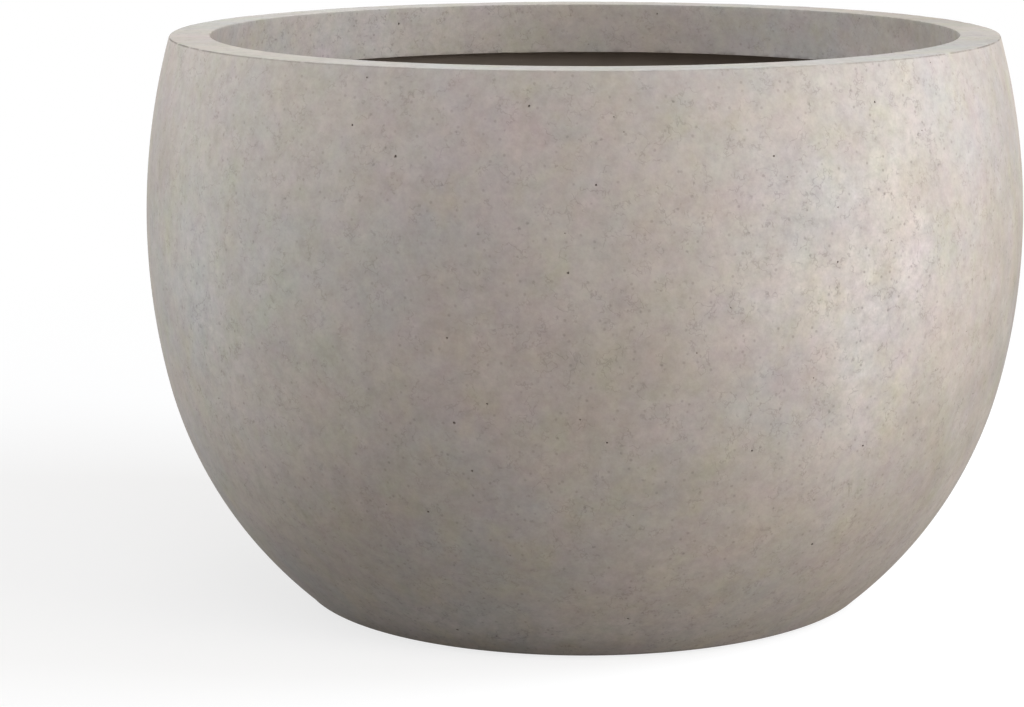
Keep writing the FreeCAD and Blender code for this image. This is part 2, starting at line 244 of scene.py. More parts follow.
# Concrete: its greys, each with the size of its clouds and the noise values between which it sets in
GREY = (0.393, 0.367, 0.349, 1)
TINTS = [
    ((0.415, 0.365, 0.325, 1), 0.14, (0.35, 0.65)),
    ((0.413, 0.364, 0.339, 1), (0.045, 0.045, 0.055), (0.40, 0.75)),
    ((0.405, 0.370, 0.310, 1), (0.030, 0.030, 0.035), (0.45, 0.80)),
]
SPECKLE_SIZE = 0.030
SPECKLE_AMOUNT = 0.025
BLOTCH_SIZE = 0.032
BLOTCH_AMOUNT = 0.20
FLECK_SIZE = 0.0092
FLECK_AMOUNT = 0.45
PINHOLE_SIZE = 0.007
PINHOLE_EDGE = (0.05, 0.20)
PINHOLE_AMOUNT = 0.17
VEIN_SIZE = 0.011
VEIN_WIDTH = 0.030
VEIN_AMOUNT = 0.14
VEIN_PATCH_SIZE = 0.014
VEIN_PATCH_EDGE = (0.46, 0.60)
MARK_BUMP = 0.0003
STREAK_SIZE = (0.0067, 0.0067, 0.09)
STREAK_AMOUNT = 0.03
CONCRETE_ROUGHNESS = 0.68
CONCRETE_ROUGHNESS_RANGE = 0.25
CONCRETE_GLOSS = 0.03
# Dark colour of the rim line, partly stain and partly painted shade of its groove
LINE_STAIN_AND_SHADE = (0.10, 0.08, 0.068, 1)
LINE_STAIN_AND_SHADE_SIZE = 0.012
LINE_STAIN_AND_SHADE_EDGE = (0.32, 0.50)
# Painted shade inside the air holes
PORE_SHADE = (0.19, 0.166, 0.145, 1)

# Lining: the brush's strokes round the bowl and the colours of the coat
BRUSH_LENGTH = 0.09
BRUSH_WIDTH = 0.007
BRUSH_DEPTH = 0.0006
STROKE_SIZE = (0.08, 0.08, 0.003)
STROKE_AMOUNT = 0.5
STROKE_BUMP = 0.0003
COAT_DARK = (0.20, 0.170, 0.144, 1)
COAT_BROWN = (0.26, 0.222, 0.188, 1)
COAT_CLOUD_SIZE = 0.07
COAT_CLOUD_EDGE = (0.3, 0.7)
COAT_DUST = (0.36, 0.33, 0.30, 1)
COAT_DUST_SIZE = 0.0024
COAT_DUST_EDGE = (0.60, 0.78)
COAT_DUST_AMOUNT = 0.25
COAT_ROUGHNESS = 0.58
COAT_ROUGHNESS_RANGE = 0.5

# Moulded plastic and rubber: dark and pale colour, roughness and size of the grain
SLEEVE_FINISH = ((0.105, 0.104, 0.102, 1), (0.150, 0.149, 0.146, 1), 0.45, 0.0011)
PLUG_FINISH = ((0.022, 0.022, 0.022, 1), (0.045, 0.044, 0.042, 1), 0.62, 0.0014)
PAD_FINISH = ((0.025, 0.025, 0.025, 1), (0.050, 0.048, 0.046, 1), 0.70, 0.0014)
MOULDED_CLOUD_SIZE = 0.011
MOULDED_CLOUD_EDGE = (0.35, 0.75)
MOULDED_ROUGHNESS_RANGE = 0.25
MOULDED_BUMP = 0.00005

# Room and floor. The floor is seen lit from the key light's side, and fades to white away from the planter
WHITE = (1.0, 1.0, 1.0, 1)
BLACK = (0.0, 0.0, 0.0, 1)
ROOM_COLOUR = (1.0, 0.91, 0.845, 1)
ROOM_STRENGTH = 0.54
FLOOR_REACH = 6.0
FLOOR_BOUNCE = (0.285, 0.275, 0.262, 1)
FLOOR_SEEN = (0.26, 0.26, 0.26, 1)
FLOOR_GLOW = 0.78
FLOOR_LEAN = (0.75, -0.33, 0.57)
FLOOR_FADE = (0.6, 1.5)

# Studio lights: degrees to the right of the camera's side, degrees up, power and colour
LIGHTS = {
    "key": (80, 35, 31, (0.92, 1.0, 1.08)),
    "front": (0, 40, 7.6, (0.93, 1.0, 1.07)),
    "low": (55, 8, 23, (1.0, 0.98, 0.95)),
    "fill": (-90, 35, 38.5, (0.89, 1.0, 1.08)),
    "back": (180, 45, 7, (0.93, 1.0, 1.07)),
}
LIGHT_AIM = Vector((0, 0, 0.2))
LIGHT_DISTANCE = 2.2
LIGHT_SIZE = 1.1


class Outline:
    """Rows of a turned mesh: radius and height, and how much relief and rim line each row takes."""

    def __init__(self):
        self.places = []
        self.relief = []
        self.wear = []
        self.line = []

    def add(self, points, relief=0.0, wear=0.0, line=None):
        """Add a stretch, leaving out a first point that repeats the row before it."""
        for number, point in enumerate(points):
            if self.places and math.dist(self.places[-1], point) < REPEAT_GAP:
                continue
            self.places.append(tuple(point))
            self.relief.append(relief)
            self.wear.append(wear)
            self.line.append(line[number] if line else 0.0)

    def normals(self):
        """Outward direction of each row. The solid is on the left of the way the rows run."""
        along = np.gradient(np.array(self.places), axis=0)
        across = np.stack([along[:, 1], -along[:, 0]], axis=1)
        return across / np.linalg.norm(across, axis=1)[:, None]

    def distances(self):
        """How far along the outline each row is."""
        steps = np.linalg.norm(np.diff(np.array(self.places), axis=0), axis=1)
        return np.concatenate([[0.0], np.cumsum(steps)])


def line_points(start, end, step):
    """Points along a straight stretch, no further apart than a step."""
    count = math.ceil(math.dist(start, end) / step)
    return [tuple(point) for point in np.linspace(start, end, count + 1)]


def arc_points(centre, radius, start, end, step):
    """Points along a round stretch, no further apart than a step."""
    count = math.ceil(abs(end - start) * radius / step)
    angles = np.linspace(start, end, count + 1)
    return [(centre[0] + radius * math.cos(a), centre[1] + radius * math.sin(a)) for a in angles]


def corner_points(before, corner, after, radius, step):
    """Points along the round that takes the place of a corner between two straight edges."""
    before, corner, after = Vector(before), Vector(corner), Vector(after)
    back = (before - corner).normalized()
    ahead = (after - corner).normalized()
    half = back.angle(ahead) / 2
    centre = corner + (back + ahead).normalized() * radius / math.sin(half)
    first = corner + back * radius / math.tan(half) - centre
    last = corner + ahead * radius / math.tan(half) - centre
    start = math.atan2(first.y, first.x)
    end = start - first.angle_signed(last)
    return arc_points(centre, radius, start, end, step)


def wall_arcs(inset, round_radius, floor, rise):
    """Centre, radius and end angles of the wall's three arcs, from the floor up, moved inward by inset."""
    belly_centre = Vector((BELLY_RADIUS - BELLY_ARC_RADIUS, BELLY_HEIGHT))
    turn = math.asin((BELLY_HEIGHT - LOWER_ARC_TOP) / BELLY_ARC_RADIUS)
    spread = BELLY_ARC_RADIUS - LOWER_ARC_RADIUS
    lower_centre = belly_centre + spread * Vector((math.cos(turn), -math.sin(turn)))
    reach = LOWER_ARC_RADIUS - inset - round_radius
    dip = math.asin((lower_centre.y - floor - round_radius) / reach)
    round_centre = lower_centre + reach * Vector((math.cos(dip), -math.sin(dip)))
    return [
        (round_centre, round_radius, -math.pi / 2, -dip),
        (lower_centre, LOWER_ARC_RADIUS - inset, -dip, -turn),
        (belly_centre, BELLY_ARC_RADIUS - inset, -turn, rise),
    ]


def rise_to(inset, height):
    """Angle at which the belly arc, moved inward by inset, reaches a height."""
    return math.asin((height - BELLY_HEIGHT) / (BELLY_ARC_RADIUS - inset))


def backwards(points):
    """The same stretch, run the other way."""
    return points[::-1]


def shell_outline():
    """The casting's outline from the base's edge up, over the rim, down inside and out to the recess."""
    outline = Outline()
    edge = RIM_EDGE_RADIUS
    rise = rise_to(edge, RIM_TOP - edge)
    foot, lower, belly = wall_arcs(0.0, FOOT_ROUND_RADIUS, BASE, rise)
    outline.add(arc_points(*foot, SKIN_STEP / 2))
    outline.add(arc_points(*lower, SKIN_STEP), relief=1.0)

    centre, radius, start, end = belly
    line_bottom = end - LINE_WIDTH / radius
    outline.add(arc_points(centre, radius, start, line_bottom, SKIN_STEP), relief=1.0)
    groove = arc_points(centre, radius, line_bottom, end, EDGE_STEP)
    outline.add(groove, relief=1.0, line=list(np.linspace(0, 1, len(groove))))

    edge_centre = centre + (radius - edge) * Vector((math.cos(rise), math.sin(rise)))
    arris = arc_points(edge_centre, edge, rise, math.pi / 2, EDGE_STEP)
    outline.add(arris, relief=1.0, wear=1.0, line=list(np.linspace(1, 0, len(arris))))
    outer_corner = (centre.x + radius * math.cos(rise_to(0.0, RIM_TOP)), RIM_TOP)
    lip_top = (outer_corner[0] - RIM_WIDTH, RIM_TOP)
    lip_bottom = (lip_top[0] + RIM_FLARE, LIP_UNDERSIDE)
    inner_rise = rise_to(WALL_THICKNESS, LIP_UNDERSIDE)
    inside = wall_arcs(WALL_THICKNESS, FLOOR_ROUND_RADIUS, FLOOR, inner_rise)
    inner_round, inner_lower, inner_belly = [backwards(arc_points(*arc, HIDDEN_STEP)) for arc in inside]
    upper_round = corner_points(outer_corner, lip_top, lip_bottom, LIP_EDGE_RADIUS, LIP_STEP)
    lower_round = corner_points(lip_top, lip_bottom, inner_belly[0], LIP_EDGE_RADIUS, LIP_STEP)
    outline.add(line_points(outline.places[-1], upper_round[0], SKIN_STEP), relief=1.0)
    outline.add(upper_round, relief=1.0, wear=1.0)
    outline.add(line_points(upper_round[-1], lower_round[0], SKIN_STEP), relief=1.0)
    outline.add(lower_round, relief=1.0, wear=1.0)

    outline.add(line_points(lower_round[-1], inner_belly[0], SKIN_STEP * 2))
    outline.add(inner_belly)
    outline.add(inner_lower)
    outline.add(inner_round)
    outline.add(line_points(inner_round[-1], (DRAIN_HOLE_RADIUS, FLOOR), HIDDEN_STEP))
    outline.add([(DRAIN_HOLE_RADIUS, RECESS)])
    recess_edge = foot[0].x - FOOT_RING_WIDTH
    outline.add(line_points((DRAIN_HOLE_RADIUS, RECESS), (recess_edge, RECESS), HIDDEN_STEP))
    outline.add([(recess_edge, BASE)])
    return outline


def lining_outline():
    """The lining's outline, all round: from the drain up its outside, over its edge and down inside."""
    outline = Outline()
    outer = WALL_THICKNESS + BOND_GAP
    inner = outer + LINING_THICKNESS
    outer_round = FLOOR_ROUND_RADIUS - BOND_GAP
    inner_round = outer_round - LINING_THICKNESS
    top = LINING_UNDERSIDE + LINING_THICKNESS
    outside = wall_arcs(outer, outer_round, LINING_UNDERSIDE, rise_to(outer, LINING_EDGE))
    inside = wall_arcs(inner, inner_round, top, rise_to(inner, LINING_EDGE))
    outline.add([(DRAIN_HOLE_RADIUS, top), (DRAIN_HOLE_RADIUS, LINING_UNDERSIDE)])
    for arc in outside:
        outline.add(arc_points(*arc, HIDDEN_STEP))
    for arc in reversed(inside):
        outline.add(backwards(arc_points(*arc, SKIN_STEP)), relief=1.0)
    outline.add(line_points(outline.places[-1], (DRAIN_HOLE_RADIUS, top), SKIN_STEP), relief=1.0)
    return outline


def turned(outline, columns):
    """Points and outward directions of an outline turned about Z, as rows by columns."""
    angles = np.arange(columns) * 2 * math.pi / columns
    places = np.array(outline.places)
    normals = outline.normals()
    around = np.stack([np.cos(angles), np.sin(angles)], axis=1)
    points = np.zeros((len(places), columns, 3))
    points[..., :2] = places[:, 0][:, None, None] * around[None]
    points[..., 2] = places[:, 1][:, None]
    directions = np.zeros_like(points)
    directions[..., :2] = normals[:, 0][:, None, None] * around[None]
    directions[..., 2] = normals[:, 1][:, None]
    return points, directions


def share(place, length):
    """Smooth noise from 0 to 1 that changes over a length."""
    return 0.5 + 0.5 * noise.noise(Vector(place) / length)


def casting_depth(place, relief, wear):
    """How far the concrete's face lies in from its true place."""
    depth = UNDULATION_DEPTH * share(place, UNDULATION_LENGTH)
    depth += RIPPLE_DEPTH * share(place, RIPPLE_LENGTH)
    return relief * depth + wear * EDGE_WEAR_DEPTH * share(place, EDGE_WEAR_LENGTH) ** 2


def line_share(place):
    """How plain the rim's dark line of stain and painted shade is: plainest at the bowl's two sides, faint
    at the front and back.
    """
    side = abs(place[0]) / math.hypot(place[0], place[1])
    plain = LINE_FAINTEST + (1 - LINE_FAINTEST) * side ** LINE_FADE
    return plain * (0.5 + 0.5 * share(place, LINE_CHANGE_LENGTH))


def grid_faces(rows, columns, left_out=()):
    """Quads of a turned mesh, seen from outside anticlockwise, without the cells that are left out."""
    faces = []
    for row in range(rows - 1):
        for column in range(columns):
            if (row, column) in left_out:
                continue
            beside = (column + 1) % columns
            low, high = row * columns, (row + 1) * columns
            faces.append((low + column, low + beside, high + beside, high + column))
    return faces


def seen_point(across, down):
    """Where the line of sight through a pixel of the photograph meets the casting."""
    sight = Vector((across - AXIS_PIXEL, IMAGE_HEIGHT / 2 - down, -FOCAL_PIXELS)).normalized()
    sight.rotate(Matrix.Rotation(math.pi / 2 - CAMERA_PITCH, 3, "X"))
    hit, place, _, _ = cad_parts["bowl_shell"].ray_cast(CAMERA_PLACE, sight)
    return place if hit else None


def faces_camera(place, outward):
    """Whether a face at a place is turned to the photograph's camera."""
    return Vector(outward).dot(CAMERA_PLACE - Vector(place)) > 0


def finish_mesh(mesh, material):
    """Shade a mesh smooth but for its sharp corners, and give it its material."""
    mesh.shade_smooth()
    mesh.set_sharp_from_angle(angle=SHARP_ANGLE)
    mesh.materials.append(material)


def add_piece(name, mesh, body, node):
    """Put a mesh in the scene as a piece that stands for a node of the frame."""
    piece = bpy.data.objects.new(name, mesh)
    bpy.context.scene.collection.objects.link(piece)
    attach(piece, body)
    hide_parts(node)
    return piece


class Pores:
    """Air holes in the casting's face, each let into a patch of two by two cells of its grid."""

    def __init__(self, outline, points, directions):
        self.outline = outline
        self.points = points
        self.directions = directions
        self.rows, self.columns = points.shape[:2]
        steps = np.diff(outline.distances())
        wide = np.minimum(steps[:-1], steps[1:]) > SKIN_STEP / 2
        self.open_rows = [row + 1 for row in np.flatnonzero(wide) if outline.relief[row + 1]]
        self.cells = set()
        self.places = []
        self.faces = []
        self.pore_shade_levels = []
        self.homes = []
        self.dice = random.Random(PORE_SEED)

    def add_seen(self):
        """Place the holes that the photograph shows."""
        for across, down, radius in SEEN_PORES:
            place = seen_point(across, down)
            if place is not None:
                off = np.linalg.norm(self.points[self.open_rows] - np.array(place), axis=2)
                nearest, column = np.unravel_index(off.argmin(), off.shape)
                row = self.open_rows[nearest]
                self.cut(row, column, radius, np.array(place) - self.points[row, column])

    def scatter(self, count, radius_range, hidden):
        """Scatter holes, over the parts that the photograph doesn't show or over all of them."""
        weights = [self.outline.places[row][0] for row in self.open_rows]
        placed = 0
        while placed < count:
            row = self.dice.choices(self.open_rows, weights)[0]
            column = self.dice.randrange(self.columns)
            radius = self.dice.uniform(*radius_range)
            off = np.array([self.dice.uniform(-radius, radius) for _ in range(3)])
            shown = faces_camera(self.points[row, column], self.directions[row, column])
            if not (hidden and shown) and self.cut(row, column, radius, off):
                placed += 1

    def cut(self, row, column, radius, off):
        """Let a hole into the four cells around a point of the grid, off it as far as there is room."""
        cells = {(row - a, (column - b) % self.columns) for a in (0, 1) for b in (0, 1)}
        here = self.points[row, column]
        upward = self.points[row + 1, column] - here
        beside = self.points[row, (column + 1) % self.columns] - here
        room = min(np.linalg.norm(upward), np.linalg.norm(beside))
        slack = room - radius * PORE_RINGS[0][0] * (1 + 2 * PORE_LOBE)
        if cells & self.cells or slack < 0:
            return False
        outward = self.directions[row, column]
        off = off - outward * np.dot(off, outward)
        middle = here + off * min(1.0, slack / max(np.linalg.norm(off), slack))
        upward /= np.linalg.norm(upward)
        beside /= np.linalg.norm(beside)
        ring = [(row + a) * self.columns + (column + b) % self.columns for a, b in PORE_PATCH]
        lobes = [self.dice.uniform(-PORE_LOBE, PORE_LOBE) for _ in range(2)]
        lean = self.dice.uniform(0, math.pi)
        centre = row * self.columns + column
        for reach, sink, dark in PORE_RINGS:
            start = self.rows * self.columns + len(self.places)
            for number in range(PORE_POINTS):
                angle = PORE_START + number * 2 * math.pi / PORE_POINTS
                swell = 1 + lobes[0] * math.cos(2 * angle + lean) + lobes[1] * math.cos(3 * angle - lean)
                side = radius * reach * swell * (math.cos(angle) * beside + math.sin(angle) * upward)
                self.places.append(middle + side - outward * radius * PORE_DEPTH_SHARE * sink)
                self.pore_shade_levels.append(dark)
                self.homes.append(centre)
            inner = list(range(start, start + PORE_POINTS))
            self.faces += joined_rings(ring, inner)
            ring = inner
        self.faces += [(ring[k], ring[(k + 1) % PORE_POINTS], centre) for k in range(PORE_POINTS)]
        self.points[row, column] = middle - outward * radius * PORE_DEPTH_SHARE
        self.cells |= cells
        return True


def joined_rings(outer, inner):
    """Triangles between two rings of points that both run anticlockwise from the same corner."""
    faces = []
    a = b = 0
    while a < len(outer) or b < len(inner):
        here, there = outer[a % len(outer)], inner[b % len(inner)]
        if (a + 1) / len(outer) <= (b + 1) / len(inner):
            a += 1
            faces.append((here, outer[a % len(outer)], there))
        else:
            b += 1
            faces.append((here, inner[b % len(inner)], there))
    return faces


def fill_base(mesh, outer_ring, inner_ring):
    """Close the flat ring under the base, with a round seat for each foot pad."""
    work = bmesh.new()
    work.from_mesh(mesh)
    work.verts.ensure_lookup_table()
    rings = [[work.verts[k] for k in outer_ring], [work.verts[k] for k in inner_ring]]
    for foot in range(FOOT_COUNT):
        turn = Matrix.Rotation(2 * math.pi * foot / FOOT_COUNT, 3, "Z")
        centre = turn @ Vector((PAD_CIRCLE, 0, BASE))
        seat = []
        for number in range(SEAT_COLUMNS):
            angle = 2 * math.pi * number / SEAT_COLUMNS
            side = (PAD_RADIUS + SEAT_FIT) * Vector((math.cos(angle), math.sin(angle), 0))
            seat.append(work.verts.new(centre + side))
        ceiling = [work.verts.new((v.co.x, v.co.y, SEAT_CEILING)) for v in seat]
        for k, vertex in enumerate(seat):
            after = (k + 1) % SEAT_COLUMNS
            work.faces.new((vertex, ceiling[k], ceiling[after], seat[after]))
        work.faces.new(ceiling[::-1])
        rings.append(seat)
    edges = []
    for ring in rings:
        for k, vertex in enumerate(ring):
            pair = (vertex, ring[(k + 1) % len(ring)])
            edges.append(work.edges.get(pair) or work.edges.new(pair))
    bmesh.ops.triangle_fill(work, use_beauty=True, edges=edges, normal=(0, 0, -1))
    work.to_mesh(mesh)
    work.free()


def cast_face(outline, points, directions):
    """Sink the casting's face by its unevenness and the rim line, and say how plain that line is."""
    line = np.zeros(points.shape[:2])
    for row, relief in enumerate(outline.relief):
        for column in range(COLUMNS if relief else 0):
            place = points[row, column].copy()
            if outline.line[row]:
                line[row, column] = outline.line[row] * line_share(place)
            depth = casting_depth(place, relief, outline.wear[row]) + LINE_DEPTH * line[row, column]
            points[row, column] -= directions[row, column] * depth
    return line


def clouded(outline, points, directions):
    """Factors on each point's colour and grain where clouds lie in the concrete: its own tone, and painted
    highlight, painted light and painted shade.
    """
    clouds = []
    for across, down, *cloud in SEEN_CLOUDS:
        clouds.append((np.array(seen_point(across, down)), *cloud))
    dice = random.Random(CLOUD_SEED)
    faced = [row for row, relief in enumerate(outline.relief) if relief]
    while len(clouds) < len(SEEN_CLOUDS) + HIDDEN_CLOUD_COUNT:
        row = dice.choice(faced)
        column = dice.randrange(COLUMNS)
        size = [dice.uniform(*HIDDEN_CLOUD_SIZE) for _ in range(2)]
        kind = dice.choice(HIDDEN_CLOUD_KINDS)
        if not faces_camera(points[row, column], directions[row, column]):
            clouds.append((points[row, column].copy(), *size, kind))

    ragged = np.zeros(points.shape[:2])
    for row in faced:
        ragged[row] = [noise.noise(Vector(place) / CLOUD_RAG_LENGTH) for place in points[row]]
    factors = np.ones(points.shape[:2] + (CLOUD_PARTS,), np.float32)
    for place, width, height, kind in clouds:
        off = points - place
        level = np.hypot(off[..., 0], off[..., 1]) / width
        away = np.hypot(level, off[..., 2] / height) + CLOUD_RAG * ragged
        weight = np.exp(-np.maximum(away, 0) ** 2)
        factors *= 1 + weight[..., None] * (np.array(CLOUD_KINDS[kind]) - 1)
    on_top = np.array(outline.places)[:, 1] > RIM_TOP - RIM_EDGE_RADIUS
    factors[on_top] *= RIM_TOP_TINT
    return factors


def keep_numbers(mesh, name, numbers):
    """Keep one number for each point of a mesh, for its material to read."""
    mesh.attributes.new(name, "FLOAT", "POINT").data.foreach_set("value", np.asarray(numbers, np.float32))


def build_shell(material):
    """The cast bowl, with its unevenness, clouds, air holes, worn edges and the line along its rim."""
    outline = shell_outline()
    points, directions = turned(outline, COLUMNS)
    rows = len(outline.places)
    line = cast_face(outline, points, directions)
    clouds = clouded(outline, points, directions).reshape(-1, CLOUD_PARTS)
    pores = Pores(outline, points, directions)
    pores.add_seen()
    pores.scatter(HIDDEN_PORE_COUNT, HIDDEN_PORE_RADIUS, hidden=True)
    pores.scatter(SMALL_PORE_COUNT, SMALL_PORE_RADIUS, hidden=False)

    mesh = bpy.data.meshes.new("bowl_concrete")
    places = np.concatenate([points.reshape(-1, 3), np.array(pores.places)])
    faces = grid_faces(rows, COLUMNS, pores.cells) + pores.faces
    mesh.from_pydata(places.tolist(), [], faces)
    # The pit numbers say how much painted shade darkens each point of an air hole
    keep_numbers(mesh, "pit", np.concatenate([np.zeros(line.size), pores.pore_shade_levels]))
    keep_numbers(mesh, "line", np.concatenate([line.ravel(), np.zeros(len(pores.places))]))
    clouds = np.concatenate([clouds, clouds[pores.homes]])
    mesh.attributes.new("cloud", "FLOAT_COLOR", "POINT").data.foreach_set("color", clouds.ravel())
    last = (rows - 1) * COLUMNS
    fill_base(mesh, range(COLUMNS), range(last, last + COLUMNS))
    finish_mesh(mesh, material)
    return add_piece("bowl_concrete", mesh, "bowl", "bowl_shell")


class Graph:
    """Short ways to add nodes to a material."""

    def __init__(self, name):
        self.material = bpy.data.materials.new(name)
        self.material.use_nodes = True
        self.tree = self.material.node_tree
        self.shader = self.tree.nodes["Principled BSDF"]
        self.place = self.add("ShaderNodeTexCoord").outputs["Object"]

    def put(self, socket, value):
        """Link a socket to another node's output, or set it."""
        if isinstance(value, bpy.types.NodeSocket):
            self.tree.links.new(value, socket)
        else:
            socket.default_value = value

    def add(self, kind, inputs=None, **settings):
        """Add a node."""
        node = self.tree.nodes.new(kind)
        for name, setting in settings.items():
            setattr(node, name, setting)
        for name, value in (inputs or {}).items():
            self.put(node.inputs[name], value)
        return node

    def noise(self, size, detail, roughness, place=None, output="Fac"):
        """Noise about 0.5 with features of a size, or of a different size along each axis."""
        sizes = size if isinstance(size, tuple) else (size, size, size)
        scale = [1 / length for length in sizes]
        inputs = {"Vector": place or self.place, "Scale": scale}
        drawn = self.add("ShaderNodeMapping", inputs).outputs[0]
        inputs = {"Vector": drawn, "Scale": 1.0, "Detail": detail, "Roughness": roughness}
        return self.add("ShaderNodeTexNoise", inputs).outputs[output]

    def dots(self, size, edge):
        """Soft dots strewn about one cell of a size apart, 1 in their middle."""
        cells = self.add("ShaderNodeTexVoronoi", {"Vector": self.place, "Scale": 1 / size})
        return self.math("SUBTRACT", 1.0, self.between(cells.outputs["Distance"], *edge))

    def veins(self, size, width):
        """Thin winding lines, 1 along their middle."""
        off = self.math("ABSOLUTE", self.math("SUBTRACT", self.noise(size, *SOFT), 0.5), 0.0)
        return self.math("SUBTRACT", 1.0, self.between(off, 0.0, width))

    def math(self, operation, first, second):
        """One sum."""
        node = self.add("ShaderNodeMath", operation=operation)
        self.put(node.inputs[0], first)
        self.put(node.inputs[1], second)
        return node.outputs[0]

    def spread(self, value, amount, middle):
        """Noise about 0.5 turned into a number about a middle."""
        return self.math("ADD", self.math("MULTIPLY", value, amount), middle - amount / 2)

    def between(self, value, low, high):
        """A smooth step from 0 at low to 1 at high."""
        inputs = {"Value": value, "From Min": low, "From Max": high}
        return self.add("ShaderNodeMapRange", inputs, interpolation_type="SMOOTHSTEP").outputs[0]

    def blend(self, mode, amount, under, over):
        """One colour laid over another."""
        node = self.add("ShaderNodeMix", data_type="RGBA", blend_type=mode)
        self.put(node.inputs[0], amount)
        self.put(node.inputs[MIX_UNDER], under)
        self.put(node.inputs[MIX_OVER], over)
        return node.outputs[MIX_RESULT]

    def attribute(self, name):
        """A number kept in the mesh."""
        return self.add("ShaderNodeAttribute", attribute_name=name).outputs["Fac"]

    def bump(self, height, distance):
        """Small relief for the shader."""
        node = self.add("ShaderNodeBump", {"Height": height, "Distance": distance})
        self.put(self.shader.inputs["Normal"], node.outputs[0])


def concrete():
    """Pale fair-faced concrete: clouded warm grey with painted highlight and shade in some clouds, finely
    flecked, with pores darkened by painted shade and a rim line darkened by stain and painted shade.
    """
    graph = Graph("concrete")
    colour = GREY
    for tint, size, edge in TINTS:
        colour = graph.blend("MIX", graph.between(graph.noise(size, *SOFT), *edge), colour, tint)
    speckles = graph.noise(SPECKLE_SIZE, *FINE, output="Color")
    colour = graph.blend("LINEAR_LIGHT", SPECKLE_AMOUNT, colour, speckles)
    blotches = graph.noise(BLOTCH_SIZE, *SOFT)
    flecks = graph.noise(FLECK_SIZE, *FINE)
    cloud = graph.add("ShaderNodeAttribute", attribute_name="cloud")
    streaks = graph.noise(STREAK_SIZE, *SOFT)
    tone = graph.spread(blotches, BLOTCH_AMOUNT, 1.0)
    pinholes = graph.math("MULTIPLY", graph.dots(PINHOLE_SIZE, PINHOLE_EDGE), PINHOLE_AMOUNT)
    veins = graph.math("MULTIPLY", graph.veins(VEIN_SIZE, VEIN_WIDTH), VEIN_AMOUNT)
    patches = graph.between(graph.noise(VEIN_PATCH_SIZE, *SOFT), *VEIN_PATCH_EDGE)
    hollows = graph.math("ADD", pinholes, graph.math("MULTIPLY", veins, patches))
    marks = graph.math("SUBTRACT", graph.spread(flecks, FLECK_AMOUNT, 0.0), hollows)
    grain = graph.math("MULTIPLY", marks, cloud.outputs["Alpha"])
    tone = graph.math("MULTIPLY", tone, graph.math("ADD", grain, 1.0))
    tone = graph.math("MULTIPLY", tone, graph.spread(streaks, STREAK_AMOUNT, 1.0))
    colour = graph.blend("MULTIPLY", 1.0, colour, tone)
    # The clouds' factors hold painted highlight, painted light and painted shade as well as the concrete's
    # own tone
    colour = graph.blend("MULTIPLY", 1.0, colour, cloud.outputs["Color"])

    # The rim line's dark colour: partly stain, partly painted shade of its groove
    stain_and_shade = graph.between(graph.noise(LINE_STAIN_AND_SHADE_SIZE, *SOFT), *LINE_STAIN_AND_SHADE_EDGE)
    line = graph.math("MULTIPLY", graph.attribute("line"), stain_and_shade)
    colour = graph.blend("MIX", line, colour, LINE_STAIN_AND_SHADE)
    # Painted shade darkens the air holes
    colour = graph.blend("MIX", graph.attribute("pit"), colour, PORE_SHADE)
    graph.put(graph.shader.inputs["Base Color"], colour)
    roughness = graph.spread(flecks, CONCRETE_ROUGHNESS_RANGE, CONCRETE_ROUGHNESS)
    graph.put(graph.shader.inputs["Roughness"], roughness)
    graph.put(graph.shader.inputs["Specular IOR Level"], CONCRETE_GLOSS)
    graph.bump(marks, MARK_BUMP)
    return graph.material


def build_lining(material):
    """The brushed-on lining, its face drawn out in low ridges by the brush."""
    outline = lining_outline()
    points, directions = turned(outline, LINING_COLUMNS)
    along = outline.distances()
    rows = len(outline.places)
    brush = np.zeros((rows, LINING_COLUMNS, 3), np.float32)
    brush[..., :2] = points[..., :2]
    brush[..., 2] = along[:, None]
    for row in range(rows):
        if outline.relief[row]:
            for column in range(LINING_COLUMNS):
                across, back, run = brush[row, column]
                ridge = noise.noise((across / BRUSH_LENGTH, back / BRUSH_LENGTH, run / BRUSH_WIDTH))
                depth = BRUSH_DEPTH * (0.5 + 0.5 * ridge)
                points[row, column] -= directions[row, column] * depth
    mesh = bpy.data.meshes.new("lining_coat")
    last = (rows - 1) * LINING_COLUMNS
    faces = [[corner % last for corner in face] for face in grid_faces(rows, LINING_COLUMNS)]
    mesh.from_pydata(points[:-1].reshape(-1, 3).tolist(), [], faces)
    mesh.attributes.new("brush", "FLOAT_VECTOR", "POINT").data.foreach_set("vector", brush[:-1].ravel())
    finish_mesh(mesh, material)
    return add_piece("lining_coat", mesh, "bowl", "inner_lining")


def coating():
    """Brown waterproof coat, streaked the way the brush went round."""
    graph = Graph("lining_coating")
    brush = graph.add("ShaderNodeAttribute", attribute_name="brush").outputs["Vector"]
    strokes = graph.noise(STROKE_SIZE, *SOFT, place=brush)
    clouds = graph.between(graph.noise(COAT_CLOUD_SIZE, *SOFT), *COAT_CLOUD_EDGE)
    dust = graph.between(graph.noise(COAT_DUST_SIZE, *SOFT), *COAT_DUST_EDGE)
    colour = graph.blend("MIX", clouds, COAT_DARK, COAT_BROWN)
    colour = graph.blend("MULTIPLY", 1.0, colour, graph.spread(strokes, STROKE_AMOUNT, 1.0))
    colour = graph.blend("MIX", graph.math("MULTIPLY", dust, COAT_DUST_AMOUNT), colour, COAT_DUST)
    graph.put(graph.shader.inputs["Base Color"], colour)
    graph.put(graph.shader.inputs["Roughness"], graph.spread(strokes, COAT_ROUGHNESS_RANGE, COAT_ROUGHNESS))
    graph.bump(strokes, STROKE_BUMP)
    return graph.material


